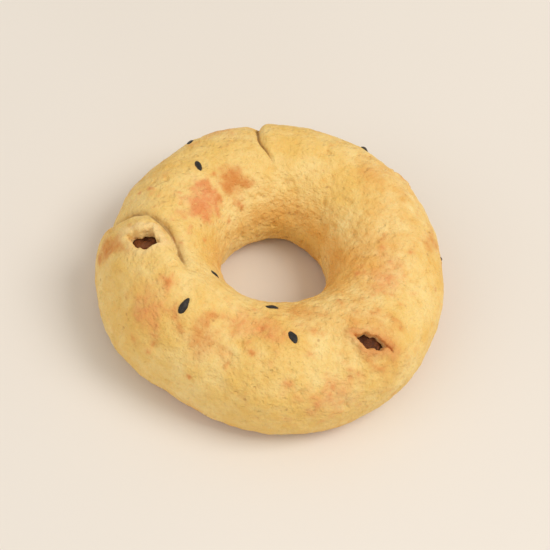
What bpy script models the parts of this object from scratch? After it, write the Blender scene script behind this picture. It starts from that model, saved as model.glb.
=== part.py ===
"""A date-filled ring cookie in metres, lying on its baked base with +Z up.

A hand-rolled rope of dough is bent into a ring: it is folded a little at the back of the bend,
and on the left the tip of one end is lapped over the other. A rope of date paste runs all the
way round inside it, and shows in three splits of the skin. A place on the dough is given by two
angles in degrees: turn goes round the ring, anticlockwise from +X seen from above, and around
goes round the rope, from 0 on the ring's outer side over 90 on top to 180 in the hole.
"""

import math
import random

import bmesh
import bpy
from mathutils import Matrix, Vector, noise

# The ring and its rope of dough
RING_DIAMETER = 0.0500
ROPE_WIDTH = 0.0172
ROPE_HEIGHT = 0.0150
WIDEST_LEVEL = 0.0057  # height above the base at which the rope is widest
BASE_PRESS = 0.0005  # how far the round underside is pressed flat
UNDER_SQUARENESS = 2.8  # of the lower half of the section, where 2 is an ellipse
ROPE_RADIUS = (RING_DIAMETER - ROPE_WIDTH) / 2  # of the circle that the rope's middle follows

# Unevenness of hand rolling: (waves in one turn, share of the size, turn of the first peak)
WIDTH_WAVES = ((1, 0.030, 350), (2, 0.022, 125), (3, 0.016, 40))
HEIGHT_WAVES = ((1, 0.020, 300), (3, 0.022, 70))
RADIUS_WAVES = ((2, 0.016, 60), (3, 0.010, 205))
LUMP_LENGTH = 0.0080
LUMP_HEIGHT = 0.00042

# The fold across the back of the bend
FOLD_TURN = 110
FOLD_LEAN = 0.10  # degrees of turn for each degree around
FOLD_AROUND = 46  # middle of the fold, round the rope
FOLD_REACH = 48  # how far the fold runs round the rope to either side
FOLD_HOOK = 0.004  # degrees of turn that its inner end curls back, for each degree squared
FOLD_HOOK_FROM = 62  # angle round the rope from which it curls
FOLD_SWELL = 24  # degrees of turn over which the right side thickens
FOLD_EDGE = 1.9  # degrees of turn over which it drops
FOLD_HEIGHT = 0.00045
CREASE_DEPTH = 0.00060
CREASE_WIDTH = 2.1

# The lapped end: a rounded tip that points up the left side, and the body of the rope behind it
LAP_TURN = 218  # where the tip passes into the body
LAP_AROUND = 32  # middle of the lapped end, round the rope
LAP_TIP = 30  # degrees of turn from the body to the tip's end
LAP_BODY = 22  # degrees of turn over which the body sinks to half its height
LAP_HALF_WIDTH = 60  # degrees around
LAP_SQUARENESS = 3  # of the tip's outline, where 2 is an ellipse
LAP_EDGE = 0.15  # half the width of the drop round the tip, as a share of its size
LAP_WAVER = 0.05  # share by which the tip's outline wavers
LAP_WAVER_LENGTH = 24  # degrees from one waver to the next
LAP_HEIGHT = 0.0016

# Bulges of the skin: (turn, around, spread of turn, spread of around, height)
BULGES = (
    (322, 52, 15, 42, 0.0012),
    (52, 24, 12, 34, 0.0006),
    (229, 92, 17, 50, 0.0005),
    (262, 60, 14, 46, -0.0005),
    (141, 120, 12, 40, -0.0004),
    (38, 66, 22, 26, 0.0005),
)

# Splits that open onto the paste: (turn, around, length, width, lean away from straight across)
SPLITS = {
    "left_split": (202, 67, 0.0056, 0.0033, 32),
    "near_split": (318, 64, 0.0062, 0.0021, -42),
    "far_split": (52, 24, 0.0054, 0.0018, 15),
}
SPLIT_DEPTH = 0.0023
SPLIT_TAPER = 0.60  # share of the width that is gone at the ends
SPLIT_WIDER_END = 0.50  # share that the upper end is wider by, and the lower end narrower
SPLIT_RAGGED = 0.25  # share by which the width wavers
SPLIT_RAGS = 3  # how often it wavers in half the length

# The date paste
PASTE_HALF_WIDTH = 0.0046
PASTE_HALF_HEIGHT = 0.0041
PASTE_LEVEL = 0.0071
PASTE_BELOW_SKIN = 0.0011  # where it swells up into a split
PASTE_SWELL_ALONG = 12  # degrees of turn
PASTE_SWELL_ACROSS = 40  # degrees around
PASTE_LUMP_LENGTH = 0.0040
PASTE_LUMP_HEIGHT = 0.00022
PASTE_GAP = 0.0003

# Black seeds stuck in the skin
SEED_COUNT = 8
SEED_LENGTH = 0.0028  # of the largest seed
SEED_WIDTH = 0.0014
SEED_SMALLEST = 0.76  # share of the largest seed's size
SEED_SINK = 0.00030  # most that a seed's middle lies below the skin
SEED_SPACING = 0.0032
SEED_TURN = 137.5  # degrees of turn from one seed to the next
SEED_JITTER = 20
SEED_AROUND = (72, 32)  # mean and spread of the angle round the rope
SEED_LOWEST = 5  # angle round the rope on the ring's outer side
SEED_INNERMOST = 150  # and in the hole
SEED_FROM_LAP = 16  # degrees of turn, also from the fold
SEED_DRAW = 29

# How fine the meshes are
RING_STEPS = 104
ROPE_STEPS = 34
PASTE_RING_STEPS = 72
PASTE_ROPE_STEPS = 16
SEED_SIDES = 6
SEED_RINGS = 4
FINE_TURN = 155  # middle of the stretch between fold and lap, where the ring's steps are shorter
FINE_SHARE = 0.55  # share by which they are shorter
TOP_SHARE = 0.30  # share by which the rope's steps are shorter on top
FRAME_STEP = 0.5  # degrees over which a direction on the skin is measured

DOUGH_COLOUR = (0.78, 0.53, 0.23, 1.0)
PASTE_COLOUR = (0.075, 0.016, 0.010, 1.0)


def waves(turn, parts):
    """Sum of the waves at this turn, as a share."""
    return sum(share * math.cos(math.radians(count * (turn - peak))) for count, share, peak in parts)


def angle_gap(a, b):
    """Degrees from b to a, between -180 and 180."""
    return (a - b + 180) % 360 - 180


def ring_point(turn, radius, level):
    """Point at this turn, radius and height."""
    angle = math.radians(turn)
    return Vector((radius * math.cos(angle), radius * math.sin(angle), level))


def section(around):
    """Place on the rope's plain section, outward and upward from its widest level, in metres."""
    out = math.cos(math.radians(around))
    up = math.sin(math.radians(around))
    if up >= 0:
        return out * ROPE_WIDTH / 2, up * (ROPE_HEIGHT - WIDEST_LEVEL)
    power = 2 / UNDER_SQUARENESS
    squared_out = math.copysign(abs(out) ** power, out)
    return squared_out * ROPE_WIDTH / 2, -abs(up) ** power * (WIDEST_LEVEL + BASE_PRESS)


def smooth_step(value, low, high):
    """0 below low, 1 above high, and a soft ramp between them."""
    share = min(max((value - low) / (high - low), 0.0), 1.0)
    return share * share * (3 - 2 * share)


def fold(turn, around):
    """Height of the skin at the fold: a slow swell, a short drop and a crease at its foot."""
    edge = FOLD_TURN + FOLD_LEAN * (around - FOLD_AROUND)
    edge -= FOLD_HOOK * max(around - FOLD_HOOK_FROM, 0) ** 2
    past = angle_gap(turn, edge)
    fade = math.exp(-((angle_gap(around, FOLD_AROUND) / FOLD_REACH) ** 4))
    spread = FOLD_EDGE if past > 0 else FOLD_SWELL
    swell = FOLD_HEIGHT * math.exp(-((past / spread) ** 2))
    crease = CREASE_DEPTH * math.exp(-(((past - FOLD_EDGE) / CREASE_WIDTH) ** 2))
    return fade * (swell - crease)


def lap_reach(turn, around):
    """How far from the middle of the lapped end a place is, where 1 is its outline."""
    behind = angle_gap(turn, LAP_TURN)
    beside = angle_gap(around, LAP_AROUND)
    length = LAP_TIP if behind < 0 else LAP_BODY
    waver = noise.noise(Vector((behind, beside, 0)) / LAP_WAVER_LENGTH)
    reach = abs(behind / length) ** LAP_SQUARENESS
    reach += abs(beside / LAP_HALF_WIDTH) ** LAP_SQUARENESS
    return reach ** (1 / LAP_SQUARENESS) * (1 + LAP_WAVER * waver)


def lap(turn, around):
    """Height of the lapped end: steep round its tip, and sinking slowly along the body."""
    behind = smooth_step(angle_gap(turn, LAP_TURN), 0, LAP_BODY)
    edge = LAP_EDGE + (1 - LAP_EDGE) * behind
    return LAP_HEIGHT * (1 - smooth_step(lap_reach(turn, around), 1 - edge, 1 + edge))


def bulges(turn, around):
    """Height of the skin's bulges and hollows."""
    height = 0.0
    for at_turn, at_around, along, across, peak in BULGES:
        distance = math.hypot(
            angle_gap(turn, at_turn) / along, angle_gap(around, at_around) / across
        )
        height += peak * math.exp(-distance * distance)
    return height


def skin_point(turn, around):
    """Point on the outside of the dough."""
    out, up = section(around)
    out *= 1 + waves(turn, WIDTH_WAVES)
    if up > 0:
        up *= 1 + waves(turn, HEIGHT_WAVES)
    radius = ROPE_RADIUS * (1 + waves(turn, RADIUS_WAVES))
    plain = ring_point(turn, radius + out, WIDEST_LEVEL + up)
    raised = fold(turn, around) + lap(turn, around) + bulges(turn, around)
    raised += LUMP_HEIGHT * noise.noise(plain / LUMP_LENGTH)
    outward = math.radians(around)
    radius += out + raised * math.cos(outward)
    level = WIDEST_LEVEL + up + raised * math.sin(outward)
    return ring_point(turn, radius, max(level, 0.0))


def skin_frame(turn, around):
    """Place on the skin, with the directions along the rope, around it and out of it."""
    along = skin_point(turn + FRAME_STEP, around) - skin_point(turn - FRAME_STEP, around)
    across = skin_point(turn, around + FRAME_STEP) - skin_point(turn, around - FRAME_STEP)
    along.normalize()
    outward = along.cross(across).normalized()
    return skin_point(turn, around), along, outward.cross(along), outward


def paste_point(turn, around):
    """Point on the outside of the date paste, which swells up under each split."""
    radius = ROPE_RADIUS * (1 + waves(turn, RADIUS_WAVES))
    outward = math.radians(around)
    plain = ring_point(
        turn,
        radius + PASTE_HALF_WIDTH * math.cos(outward),
        PASTE_LEVEL + PASTE_HALF_HEIGHT * math.sin(outward),
    )
    middle = ring_point(turn, radius, PASTE_LEVEL)
    room = (skin_point(turn, around) - plain).length - PASTE_BELOW_SKIN
    swell = 0.0
    for at_turn, at_around, _, _, _ in SPLITS.values():
        distance = math.hypot(
            angle_gap(turn, at_turn) / PASTE_SWELL_ALONG,
            angle_gap(around, at_around) / PASTE_SWELL_ACROSS,
        )
        swell = max(swell, room * math.exp(-(distance**2)))
    swell += PASTE_LUMP_HEIGHT * noise.noise(plain / PASTE_LUMP_LENGTH)
    return plain + (plain - middle).normalized() * swell


def new_object(name, mesh, collection):
    """Object of this mesh in the collection."""
    obj = bpy.data.objects.new(name, mesh)
    collection.objects.link(obj)
    return obj


def shaped_ring(name, ring_steps, rope_steps, point, fine_share=0.0, top_share=0.0):
    """Torus mesh whose vertices are moved to point(turn, around)."""
    bpy.ops.mesh.primitive_torus_add(
        major_segments=ring_steps,
        minor_segments=rope_steps,
        major_radius=ROPE_RADIUS,
        minor_radius=ROPE_WIDTH / 2,
    )
    torus = bpy.context.active_object
    mesh = torus.data
    mesh.name = name
    bpy.data.objects.remove(torus)
    for vertex in mesh.vertices:
        x, y, z = vertex.co
        turn = math.degrees(math.atan2(y, x))
        around = math.degrees(math.atan2(z, math.hypot(x, y) - ROPE_RADIUS))
        turn -= math.degrees(fine_share * math.sin(math.radians(turn - FINE_TURN)))
        around += math.degrees(top_share * math.cos(math.radians(around)))
        vertex.co = point(turn, around)
    mesh.shade_smooth()
    return mesh


def split_cutter(name, collection):
    """Lens with a ragged outline that stands across the skin and reaches down to the paste."""
    turn, around, length, width, lean = SPLITS[name]
    place, along, across, outward = skin_frame(turn, around)
    lean = math.radians(lean)
    long_way = across * math.cos(lean) + along * math.sin(lean)
    short_way = outward.cross(long_way)
    shape = bmesh.new()
    bmesh.ops.create_icosphere(shape, subdivisions=3, radius=1.0)
    for vertex in shape.verts:
        lengthwise, sideways, depth = vertex.co
        wave = noise.noise(Vector((turn, lengthwise * SPLIT_RAGS, depth)))
        ragged = 1 + SPLIT_RAGGED * wave
        narrowed = (1 - SPLIT_TAPER * lengthwise**2) * (1 + SPLIT_WIDER_END * lengthwise) * ragged
        vertex.co = (
            place
            + long_way * lengthwise * length / 2
            + short_way * sideways * narrowed * width / 2
            + outward * depth * SPLIT_DEPTH
        )
    mesh = bpy.data.meshes.new(name)
    shape.to_mesh(mesh)
    shape.free()
    return new_object(name, mesh, collection)


def seed_places():
    """Places for the seeds on the upper skin, clear of each other, of fold and lap and of splits."""
    draw = random.Random(SEED_DRAW)
    places = []
    turn = 0.0
    while len(places) < SEED_COUNT:
        turn += SEED_TURN + draw.uniform(-SEED_JITTER, SEED_JITTER)
        around = draw.gauss(*SEED_AROUND)
        spin = draw.uniform(0, math.pi)
        size = draw.uniform(SEED_SMALLEST, 1)
        sink = draw.uniform(0, SEED_SINK)
        place, along, across, outward = skin_frame(turn, around)
        clear = all((place - other[0]).length > SEED_SPACING for other in places)
        clear = clear and abs(angle_gap(turn, FOLD_TURN)) > SEED_FROM_LAP
        clear = clear and abs(angle_gap(turn, SPLITS["left_split"][0])) > SEED_FROM_LAP
        clear = clear and SEED_LOWEST < around < SEED_INNERMOST
        for at_turn, at_around, length, _, _ in SPLITS.values():
            split = skin_point(at_turn, at_around)
            clear = clear and (place - split).length > length / 2 + SEED_LENGTH
        if clear:
            long_way = along * math.cos(spin) + across * math.sin(spin)
            short_way = outward.cross(long_way)
            places.append((place - outward * sink, long_way, short_way, outward, size))
    return places


def make_seeds(collection):
    """Seeds lying in the skin, each pointed at both ends."""
    for number, (place, long_way, short_way, outward, size) in enumerate(seed_places()):
        shape = bmesh.new()
        bmesh.ops.create_uvsphere(
            shape, u_segments=SEED_SIDES, v_segments=SEED_RINGS, radius=size / 2
        )
        for vertex in shape.verts:
            sideways, depth, lengthwise = vertex.co
            vertex.co = (
                place
                + long_way * lengthwise * SEED_LENGTH
                + short_way * sideways * SEED_WIDTH
                + outward * depth * SEED_WIDTH
            )
        bmesh.ops.recalc_face_normals(shape, faces=shape.faces)
        mesh = bpy.data.meshes.new(f"seed_{number}")
        shape.to_mesh(mesh)
        shape.free()
        new_object(f"seed_{number}", mesh, collection)


def fuse(target, collection):
    """Joins every object of the collection to the target and removes the collection."""
    union = target.modifiers.new("seeds", "BOOLEAN")
    union.operation = "UNION"
    union.operand_type = "COLLECTION"
    union.collection = collection
    union.solver = "EXACT"
    bpy.context.view_layer.update()
    graph = bpy.context.evaluated_depsgraph_get()
    fused = bpy.data.meshes.new_from_object(target.evaluated_get(graph))
    target.modifiers.clear()
    target.data = fused
    for obj in list(collection.objects):
        bpy.data.objects.remove(obj)
    bpy.data.collections.remove(collection)


def cut(target, cutter):
    """Cuts the cutter out of the target, by a modifier that stays."""
    cutter.hide_render = True
    cutter.display_type = "WIRE"
    difference = target.modifiers.new(cutter.name, "BOOLEAN")
    difference.operation = "DIFFERENCE"
    difference.object = cutter
    difference.solver = "EXACT"


def make_paste(collection, cutters):
    """The date paste, and the cutter that clears its room in the dough."""
    mesh = shaped_ring("date_filling", PASTE_RING_STEPS, PASTE_ROPE_STEPS, paste_point)
    shape = bmesh.new()
    shape.from_mesh(mesh)
    bmesh.ops.triangulate(shape, faces=shape.faces)
    shape.to_mesh(mesh)
    shape.normal_update()
    for vertex in shape.verts:
        vertex.co += vertex.normal * PASTE_GAP
    room = bpy.data.meshes.new("paste_room")
    shape.to_mesh(room)
    shape.free()
    return new_object("date_filling", mesh, collection), new_object("paste_room", room, cutters)


def make_dough(collection, cutters, room):
    """The dough ring with its seeds, hollowed for the paste and split open."""
    mesh = shaped_ring("dough", RING_STEPS, ROPE_STEPS, skin_point, FINE_SHARE, TOP_SHARE)
    dough = new_object("dough", mesh, collection)
    seeds = bpy.data.collections.new("seeds")
    bpy.context.scene.collection.children.link(seeds)
    make_seeds(seeds)
    fuse(dough, seeds)
    cut(dough, room)
    for name in SPLITS:
        cut(dough, split_cutter(name, cutters))
    return dough


def centre_on_origin(dough):
    """Moves every mesh so that the dough's box stands over the origin."""
    xs = [vertex.co.x for vertex in dough.data.vertices]
    ys = [vertex.co.y for vertex in dough.data.vertices]
    middle = Vector((min(xs) + max(xs), min(ys) + max(ys), 0)) / 2
    for obj in bpy.data.objects:
        obj.data.transform(Matrix.Translation(-middle))


def paint(obj, colour, roughness):
    """Gives the object a plain material of its own."""
    material = bpy.data.materials.new(obj.name)
    material.use_nodes = True
    shader = material.node_tree.nodes["Principled BSDF"]
    shader.inputs["Base Color"].default_value = colour
    shader.inputs["Roughness"].default_value = roughness
    shader.inputs["Metallic"].default_value = 0.0
    obj.data.materials.clear()
    obj.data.materials.append(material)


def main():
    for obj in list(bpy.data.objects):
        bpy.data.objects.remove(obj)
    cookie = bpy.data.collections.new("date_filled_cookie")
    cutters = bpy.data.collections.new("cutters")
    for collection in (cookie, cutters):
        bpy.context.scene.collection.children.link(collection)
    filling, room = make_paste(cookie, cutters)
    dough = make_dough(cookie, cutters, room)
    centre_on_origin(dough)
    paint(dough, DOUGH_COLOUR, 0.75)
    paint(filling, PASTE_COLOUR, 0.4)


main()
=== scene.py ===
"""Looks of the date-filled ring cookie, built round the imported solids.

A place on the dough is given by two angles in degrees: turn goes round the ring, anticlockwise
from +X seen from above, and around goes round the rope, from 0 on the ring's outer side over 90
on top to 180 in the hole. Lengths are in metres.
"""

import math
import random

import bmesh
import bpy
from mathutils import Matrix, Quaternion, Vector, noise


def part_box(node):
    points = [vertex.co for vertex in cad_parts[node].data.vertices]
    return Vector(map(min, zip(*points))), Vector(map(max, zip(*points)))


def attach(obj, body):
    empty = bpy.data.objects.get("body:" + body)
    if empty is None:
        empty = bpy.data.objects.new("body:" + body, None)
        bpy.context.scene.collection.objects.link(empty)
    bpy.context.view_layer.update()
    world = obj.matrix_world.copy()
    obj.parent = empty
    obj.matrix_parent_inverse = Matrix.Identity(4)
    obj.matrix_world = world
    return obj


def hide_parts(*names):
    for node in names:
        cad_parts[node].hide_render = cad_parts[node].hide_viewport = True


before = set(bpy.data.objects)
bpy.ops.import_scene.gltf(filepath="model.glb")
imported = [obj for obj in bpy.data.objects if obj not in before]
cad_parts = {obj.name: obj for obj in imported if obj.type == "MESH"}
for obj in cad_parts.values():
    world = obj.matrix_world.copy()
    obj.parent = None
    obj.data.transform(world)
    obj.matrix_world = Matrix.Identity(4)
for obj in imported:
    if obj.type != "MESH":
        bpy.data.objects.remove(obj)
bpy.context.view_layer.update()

# The ring and its rope of dough, as in the solids
RING_DIAMETER = 0.0500
ROPE_WIDTH = 0.0172
ROPE_HEIGHT = 0.0150
WIDEST_LEVEL = 0.0057  # height above the base at which the rope is widest
BASE_PRESS = 0.0005  # how far the round underside is pressed flat
UNDER_SQUARENESS = 2.8  # of the lower half of the section, where 2 is an ellipse
ROPE_RADIUS = (RING_DIAMETER - ROPE_WIDTH) / 2  # of the circle that the rope's middle follows

# Unevenness of hand rolling: (waves in one turn, share of the size, turn of the first peak)
WIDTH_WAVES = ((1, 0.030, 350), (2, 0.022, 125), (3, 0.016, 40))
HEIGHT_WAVES = ((1, 0.020, 300), (3, 0.022, 70))
RADIUS_WAVES = ((2, 0.016, 60), (3, 0.010, 205))
LUMP_LENGTH, LUMP_HEIGHT = 0.0080, 0.00042

# The baked skin's fine relief, which the solids don't have
RIPPLE_LENGTH, RIPPLE_HEIGHT = 0.0026, 0.00019
GRAIN_LENGTH, GRAIN_HEIGHT = 0.0009, 0.00008
PIT_LENGTH, PIT_HOLLOW = 0.0012, 0.0009  # of the small hollows baked into it
PIT_FROM = 0.34  # level of the noise above which the skin is pitted
PIT_SHIFT = Vector((5, 9, 2))  # keeps the pits apart from the ripples

# Bulges of the skin: (turn, around, spread of turn, spread of around, height)
BULGES = (
    (322, 52, 15, 42, 0.0012),
    (52, 24, 12, 34, 0.0006),
    (229, 92, 17, 50, 0.0005),
    (262, 60, 14, 46, -0.0005),
    (141, 120, 12, 40, -0.0004),
    (38, 66, 22, 26, 0.0005),
)

# The fold across the back of the bend
FOLD_TURN = 110
FOLD_LEAN = 0.10  # degrees of turn for each degree around
FOLD_AROUND = 46  # middle of the fold, round the rope
FOLD_REACH = 48  # how far the fold runs round the rope to either side
FOLD_ENDS = 4  # the higher, the more sudden its two ends
FOLD_HOOK = 0.004  # degrees of turn that its inner end curls back, for each degree squared
FOLD_HOOK_FROM = 62  # angle round the rope from which it curls
FOLD_SWELL = 24  # degrees of turn over which the right side thickens
FOLD_EDGE = 1.9  # degrees of turn over which it drops
FOLD_HEIGHT = 0.00045
CREASE_DEPTH = 0.00060
CREASE_WIDTH = 2.1

# The thin line at the bottom of the fold's crease
FOLD_LINE_DEPTH = 0.00035
FOLD_LINE_WIDTH = 0.7  # degrees of turn
FOLD_LINE_AROUND = 60  # the middle of its run, round the rope
FOLD_LINE_REACH = 48
FOLD_LINE_ENDS = 8
FOLD_WAVER = 1.3  # degrees of turn by which it wanders
FOLD_WAVER_LENGTH = 24  # degrees around from one wander to the next

# The lapped end: a rounded tip that points up the left side, and the rope's body behind it
LAP_TURN = 218  # where the tip passes into the body
LAP_AROUND = 32  # middle of the lapped end, round the rope
LAP_TIP = 30  # degrees of turn from the body to the tip's end
LAP_BODY = 22  # degrees of turn over which the body sinks to half its height
LAP_HALF_WIDTH = 60  # degrees around
LAP_SQUARENESS = 3  # of the tip's outline, where 2 is an ellipse
LAP_EDGE = 0.15  # half the width of the drop round the tip, as a share of its size
LAP_WAVER = 0.05  # share by which the tip's outline wavers
LAP_WAVER_LENGTH = 24  # degrees from one waver to the next
LAP_HEIGHT = 0.0016

# The finish of the tip's drop. Widths and places are shares of the lapped end's size.
LAP_CRISP_EDGE = 0.10  # half the width of the drop, crisper than in the solid
LAP_FINISHED = 2  # beyond this reach the skin is left as it is
LAP_TO_BODY = (-8, 10)  # degrees of turn from the tip over which the finish ends
LAP_TO_UNDERSIDE = (-34, -8)  # angles round the rope over which it ends below
LAP_FOOT_DEPTH = 0.00030  # of the line at the foot of the drop
LAP_FOOT_WIDTH = 0.030
LAP_FOOT_PLACE = 0.9  # of the crisp edge, out from the outline
LAP_FOOT_PATCH = 9  # degrees from a deeper to a fainter stretch of that line
LAP_FOOT_MEAN, LAP_FOOT_CHANGE = 0.85, 0.7  # of its strength along the way
LAP_FOOT_LAYER = 7  # keeps its noise apart from the outline's
LAP_SHADE_WIDTH = 0.11  # of the painted shade beyond the drop
LAP_SHADE_STEEPNESS = 2.5  # how many times sooner it ends on the tip's own side
LAP_RIM_HEIGHT = 0.00024  # of the tip's rolled rim
LAP_RIM_WIDTH = 0.10

# The splits: turn, around, length, width and lean away from straight across
SPLITS = {
    "left_split": (202, 67, 0.0056, 0.0033, 32),
    "near_split": (318, 64, 0.0062, 0.0021, -42),
    "far_split": (52, 24, 0.0054, 0.0018, 15),
}
SPLIT_TAPER = 0.60  # share of the width that is gone at the ends
SPLIT_WIDER_END = 0.50  # share that the upper end is wider by, and the lower end narrower
SPLIT_RAGGED = 0.25  # share by which the width wavers
SPLIT_RAGS = 3  # how often it wavers in half the length
SPLIT_WANDER = 0.00085  # how far the tear swings from side to side on its way
SPLIT_SWINGS = 2.3  # how often, in half the length
SPLIT_LAYER = 3  # keeps the swings apart from the width's wavers
TEAR_LENGTH, TEAR_DEPTH = 0.0009, 0.00034  # of the notches along a torn edge
FINE_TEAR_SHARE, FINE_TEAR_TIMES = 0.3, 2.7  # smaller notches: their depth, and how much finer
WALL_RUN = 0.00055  # how far the torn wall takes to reach full depth
TORN_DEPTH = 0.0017  # down into the room of the paste
TORN_UNEVEN, TORN_TIMES = 0.35, 1.7  # share by which that depth varies, and how finely

# Height and width of each split's curled lip, and how strongly the skin round it is toasted
LIPS = {
    "left_split": (0.00034, 0.00075, 0.15),
    "near_split": (0.00034, 0.00060, 0.85),
    "far_split": (0.00022, 0.00045, 0.8),
}
LIP_CREST = 0.7  # of the lip's width, from the torn edge to its highest line
LIP_REACH = 3  # lip widths from the torn edge to where the skin is plain again
LIP_UPPER = 0.55  # share by which the side towards the upper skin is higher
LIP_INNER = 0.30  # share by which the inner end is higher

# The crack that runs on from each end of a split
TAIL_LENGTH = 0.0022
TAIL_DEPTH = 0.00030
TAIL_WIDTH = 0.00022
TAIL_OVERLAP = 0.0006  # how far it starts inside the split

# The date paste
PASTE_HALF_WIDTH = 0.0046
PASTE_HALF_HEIGHT = 0.0041
PASTE_LEVEL = 0.0071
PASTE_BELOW_SKIN = 0.0011  # where it swells up into a split
PASTE_SWELL_ALONG = 12  # degrees of turn
PASTE_SWELL_ACROSS = 40  # degrees around
PASTE_LUMP_LENGTH, PASTE_LUMP_HEIGHT = 0.0040, 0.00022
PASTE_GAP = 0.0003
PASTE_BEAD_LENGTH, PASTE_BEAD_HEIGHT = 0.0013, 0.00030  # of its rough surface
PASTE_DENT_LENGTH, PASTE_DENT_DEPTH = 0.0006, 0.00022

# The seeds
SEED_COUNT = 8
SEED_LENGTH = 0.0028  # of the largest seed
SEED_WIDTH = 0.0014
SEED_SMALLEST = 0.76  # share of the largest seed's size
SEED_SINK = 0.00030  # most that a seed's middle lies below the skin
SEED_SPACING = 0.0032
SEED_TURN = 137.5  # degrees of turn from one seed to the next
SEED_JITTER = 20
SEED_AROUND = (72, 32)  # mean and spread of the angle round the rope
SEED_LOWEST = 5  # angle round the rope on the ring's outer side
SEED_INNERMOST = 150  # and in the hole
SEED_FROM_LAP = 16  # degrees of turn, also from the fold
SEED_DRAW = 29
SEED_BEND = 0.12  # most that a seed is bent, as a share of its length
SEED_EDGE = 0.10  # share by which its three edges stand out
SEED_POINT = 0.7  # how strongly its fore end narrows
SEED_DIMPLE, SEED_DIMPLES = 0.10, 4  # share by which its skin varies, and how often
SEED_RIM_HEIGHT = 0.00012  # of the dough that a seed pushes up round itself
SEED_RIM_PLACE, SEED_RIM_WIDTH = 1.15, 0.35  # shares of the seed's size, from its middle

# Coloured patches: (turn, around, size along the rope, size across it, strength)
BLUSH_PATCHES = (
    (141, 116, 0.0026, 0.0024, 1.0),
    (199, 34, 0.0020, 0.0036, 0.95),
    (322, 58, 0.0038, 0.0046, 0.60),
    (250, 62, 0.0036, 0.0026, 0.75),
    (20, 40, 0.0030, 0.0036, 0.60),
    (292, 116, 0.0030, 0.0024, 0.60),
    (58, 78, 0.0040, 0.0028, 0.40),
    (86, 20, 0.0034, 0.0030, 0.70),
    (160, 12, 0.0040, 0.0030, 0.55),
)
ROSE_PATCHES = (
    (168, 113, 0.0038, 0.0028, 1.15),
    (228, 50, 0.0034, 0.0040, 0.65),
    (268, 92, 0.0048, 0.0028, 0.60),
    (352, 96, 0.0036, 0.0026, 0.65),
    (128, 40, 0.0036, 0.0030, 0.50),
    (300, 30, 0.0042, 0.0032, 0.60),
)
PATCH_REACH = 3  # sizes from a patch's middle to where it colours nothing
PATCH_RAGS = ((0.0021, 0.85), (0.0008, 0.45))  # length and share of its outline's wavers

# Where the dough is toasted, and where the toasted tone is painted shade, as shares of the full
# tone
TOAST_CLOUD, TOAST_CLOUD_LENGTH = 0.5, 0.011
TOAST_TOP, TOP_FACING = 0.25, (0.55, 1.0)  # on top: how squarely the skin faces up
HOLE_SHADE, HOLE_AROUND, HOLE_FACING = 0.55, (112, 155), (-0.2, 0.3)  # painted shade in the hole, on the walls that face sideways
RIGHT_ARC_SHADE, RIGHT_TURN, RIGHT_SPREAD = 0.35, 8, 50  # painted shade on the right arc, which the key light lights most
TOAST_LOW, LOW_LEVELS = 0.5, (0.001, 0.0065)  # towards the base
BASE_LEVELS = (0.0002, 0.0022)  # heights between which the base's browning ends
HALO_REACH = 0.0012  # how far the toasting round a split reaches
CRUMB_DEPTHS = (0.00030, 0.00075)  # below the skin, between which a split's wall turns pale
LAP_SHADE_TONE = 0.5  # share of the painted crease shade that the corner beyond the lap's tip gets

# How fine the meshes are
RING_STEPS, ROPE_STEPS = 440, 160
ROOM_RING_STEPS, ROOM_ROPE_STEPS = 144, 36
PASTE_RING_STEPS, PASTE_ROPE_STEPS = 300, 80
CAD_PASTE_STEPS = (72, 16)  # of the paste's solid
DRAWN_UP = 0.25  # share by which the rope's steps are shorter on top
SEED_SIDES, SEED_RINGS = 18, 14
NEAR_SPLIT = 0.0016  # how far round a split the mesh is finer
NEAR_SPLIT_AROUND = (-20, 120)  # angles round the rope between which the splits lie
NEAR_TAIL = 0.6  # share of the crack that is finer
NEAR_SPLIT_DEPTH = 0.004  # deeper than that is the rope's other side
NEAR_FOLD = 6  # degrees of turn beside the fold's line
NEAR_FOLD_LINE = 0.02  # share of the line's depth from which the mesh is finer
NEAR_LAP_TURN = 6  # degrees of turn behind the tip
NEAR_LAP_AROUND = (-40, 110)
NEAR_LAP_REACH = (0.84, 1.18)  # shares of the lapped end's size
FRAME_STEP = 0.5  # degrees over which a direction on the skin is measured
MERGE_DISTANCE = 1e-6


def waves(turn, parts):
    """Sum of the waves at this turn, as a share."""
    return sum(
        share * math.cos(math.radians(count * (turn - peak))) for count, share, peak in parts
    )


def angle_gap(a, b):
    """Degrees from b to a, between -180 and 180."""
    return (a - b + 180) % 360 - 180


def smooth_step(value, low, high):
    """0 below low, 1 above high, and a soft ramp between them."""
    share = min(max((value - low) / (high - low), 0.0), 1.0)
    return share * share * (3 - 2 * share)


def ring_point(turn, radius, level):
    """Point at this turn, radius and height."""
    angle = math.radians(turn)
    return Vector((radius * math.cos(angle), radius * math.sin(angle), level))


def section(around):
    """Place on the rope's plain section, outward and upward from its widest level."""
    out = math.cos(math.radians(around))
    up = math.sin(math.radians(around))
    if up >= 0:
        return out * ROPE_WIDTH / 2, up * (ROPE_HEIGHT - WIDEST_LEVEL)
    power = 2 / UNDER_SQUARENESS
    squared_out = math.copysign(abs(out) ** power, out)
    return squared_out * ROPE_WIDTH / 2, -abs(up) ** power * (WIDEST_LEVEL + BASE_PRESS)


def fold_edge(around):
    """Turn at which the fold's edge lies, leaning and curling back at its inner end."""
    edge = FOLD_TURN + FOLD_LEAN * (around - FOLD_AROUND)
    return edge - FOLD_HOOK * max(around - FOLD_HOOK_FROM, 0) ** 2


def fold(turn, around):
    """Height of the skin at the fold: a slow swell, a short drop and a crease at its foot."""
    past = angle_gap(turn, fold_edge(around))
    fade = math.exp(-((angle_gap(around, FOLD_AROUND) / FOLD_REACH) ** FOLD_ENDS))
    spread = FOLD_EDGE if past > 0 else FOLD_SWELL
    swell = FOLD_HEIGHT * math.exp(-((past / spread) ** 2))
    crease = CREASE_DEPTH * math.exp(-(((past - FOLD_EDGE) / CREASE_WIDTH) ** 2))
    return fade * (swell - crease)


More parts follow.
